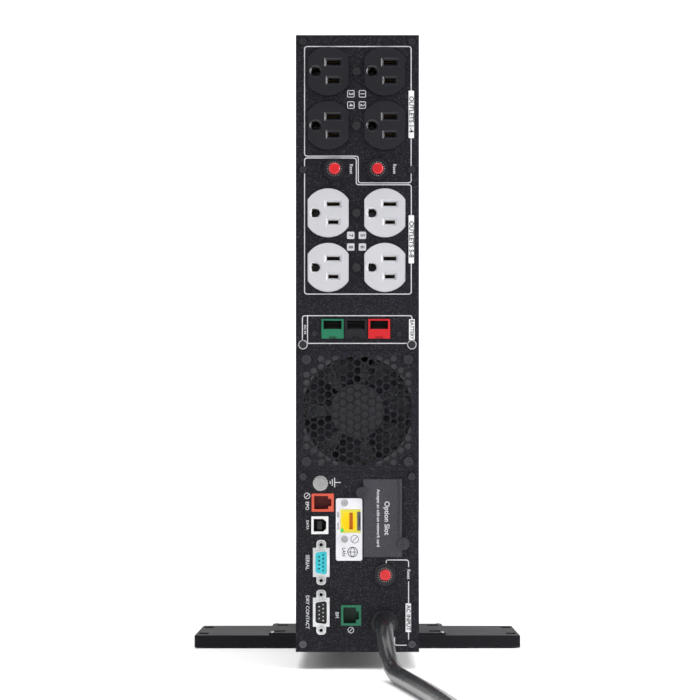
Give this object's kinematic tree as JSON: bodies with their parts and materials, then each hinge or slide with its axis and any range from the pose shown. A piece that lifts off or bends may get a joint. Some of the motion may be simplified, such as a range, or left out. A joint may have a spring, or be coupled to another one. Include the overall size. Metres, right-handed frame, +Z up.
{
  "type": "rackmount ups",
  "caption": "Rackmount UPS standing as a tower: rear outlets, breakers, battery port, fan, data ports, battery drawer, turning display and supply cord",
  "frame": {"origin": "middle of the footprint on the surface it stands on, cord left out", "axes": "+Z up as a tower, +Y from the rear panel to the display, +X to the right when looking at the rear panel"},
  "size_m": [0.2536, 1.1021, 0.4463],
  "materials": {
    "case_paint": "satin",
    "zinc_plate": "satin",
    "black_screw": "satin",
    "bright_screw": "satin",
    "white_plate": "satin",
    "grey_plate": "satin",
    "black_plastic": "matte",
    "grey_plastic": "satin",
    "red_plastic": "gloss",
    "green_plastic": "satin",
    "coral_plastic": "satin",
    "white_plastic": "satin",
    "yellow_plastic": "satin",
    "teal_plastic": "satin",
    "brass": "satin",
    "circuit_board": "satin",
    "core_steel": "matte",
    "copper_wire": "gloss",
    "aluminium": "satin",
    "component_black": "satin",
    "battery_case": "matte",
    "guide_plastic": "matte",
    "bezel_plastic": "satin",
    "key_plastic": "satin",
    "screen": "gloss",
    "window": "gloss",
    "rubber": "satin",
    "stand_plastic": "matte"
  },
  "bodies": {
    "chassis": {"case_tray": "case_paint", "case_cover": "case_paint", "outlet_panel": "case_paint", "fan_panel": "case_paint", "comm_panel": "case_paint", "bay_divider": "zinc_plate", "dsub_shells": "zinc_plate", "case_screws": "black_screw", "fitting_screws": "bright_screw", "ground_terminal": "bright_screw", "lan_plate": "white_plate", "slot_cover": "grey_plate", "receptacles_black": "black_plastic", "battery_port_bracket": "black_plastic", "battery_port_black": "black_plastic", "breaker_bodies": "black_plastic", "fan_frame": "black_plastic", "cord_gland": "black_plastic", "relay_insert": "black_plastic", "coil_ties": "black_plastic", "receptacles_grey": "grey_plastic", "battery_port_red": "red_plastic", "battery_port_green": "green_plastic", "battery_data_jack": "green_plastic", "emergency_off_jack": "coral_plastic", "usb_socket": "white_plastic", "lan_socket": "yellow_plastic", "serial_insert": "teal_plastic", "socket_contacts": "brass", "hex_spacers": "brass", "main_board": "circuit_board", "control_boards": "circuit_board", "transformer_core": "core_steel", "windings": "copper_wire", "heatsinks": "aluminium", "power_components": "component_black", "drawer_guides": "guide_plastic", "display_bezel": "bezel_plastic", "strain_relief": "rubber", "ac_cord": "rubber", "ac_cord_coil": "rubber", "ac_plug": "rubber", "stand_pads": "rubber", "stand_base": "stand_plastic", "stand_platform": "stand_plastic"},
    "battery_drawer": {"battery_drawer": "zinc_plate", "battery_blocks": "battery_case", "drawer_pull": "black_plastic"},
    "battery_bezel": {"battery_bezel": "bezel_plastic"},
    "fan_rotor": {"fan_rotor": "black_plastic"},
    "breaker_left": {"breaker_button_left": "red_plastic"},
    "breaker_right": {"breaker_button_right": "red_plastic"},
    "breaker_input": {"breaker_button_input": "red_plastic"},
    "display": {"display_housing": "bezel_plastic", "display_screen": "screen", "display_window": "window"},
    "key_power": {"key_power": "key_plastic"},
    "key_up": {"key_up": "key_plastic"},
    "key_down": {"key_down": "key_plastic"},
    "key_enter": {"key_enter": "key_plastic"}
  },
  "joints": [
    {"name": "battery_drawer_slide", "type": "slide", "parent": "chassis", "child": "battery_drawer", "axis": [0, 1, 0], "range_m": [0, 0.31]},
    {"name": "battery_bezel_pull", "type": "slide", "parent": "battery_drawer", "child": "battery_bezel", "axis": [0, 1, 0], "range_m": [0, 0.03]},
    {"name": "fan_spin", "type": "hinge", "parent": "chassis", "child": "fan_rotor", "pos_m": [0, -0.2173, 0.1813], "axis": [0, 1, 0], "continuous": true},
    {"name": "display_turn", "type": "hinge", "parent": "chassis", "child": "display", "pos_m": [0, 0.229, 0.3839], "axis": [0, 1, 0], "range_deg": [0, 90]},
    {"name": "breaker_left_trip", "type": "slide", "parent": "chassis", "child": "breaker_left", "axis": [0, -1, 0], "range_m": [0, 0.004]},
    {"name": "breaker_right_trip", "type": "slide", "parent": "chassis", "child": "breaker_right", "axis": [0, -1, 0], "range_m": [0, 0.004]},
    {"name": "breaker_input_trip", "type": "slide", "parent": "chassis", "child": "breaker_input", "axis": [0, -1, 0], "range_m": [0, 0.004]},
    {"name": "key_power_press", "type": "slide", "parent": "display", "child": "key_power", "axis": [0, -1, 0], "range_m": [0, 0.0012], "stiffness_N_per_m": 300},
    {"name": "key_up_press", "type": "slide", "parent": "display", "child": "key_up", "axis": [0, -1, 0], "range_m": [0, 0.0012], "stiffness_N_per_m": 300},
    {"name": "key_down_press", "type": "slide", "parent": "display", "child": "key_down", "axis": [0, -1, 0], "range_m": [0, 0.0012], "stiffness_N_per_m": 300},
    {"name": "key_enter_press", "type": "slide", "parent": "display", "child": "key_enter", "axis": [0, -1, 0], "range_m": [0, 0.0012], "stiffness_N_per_m": 300}
  ]
}
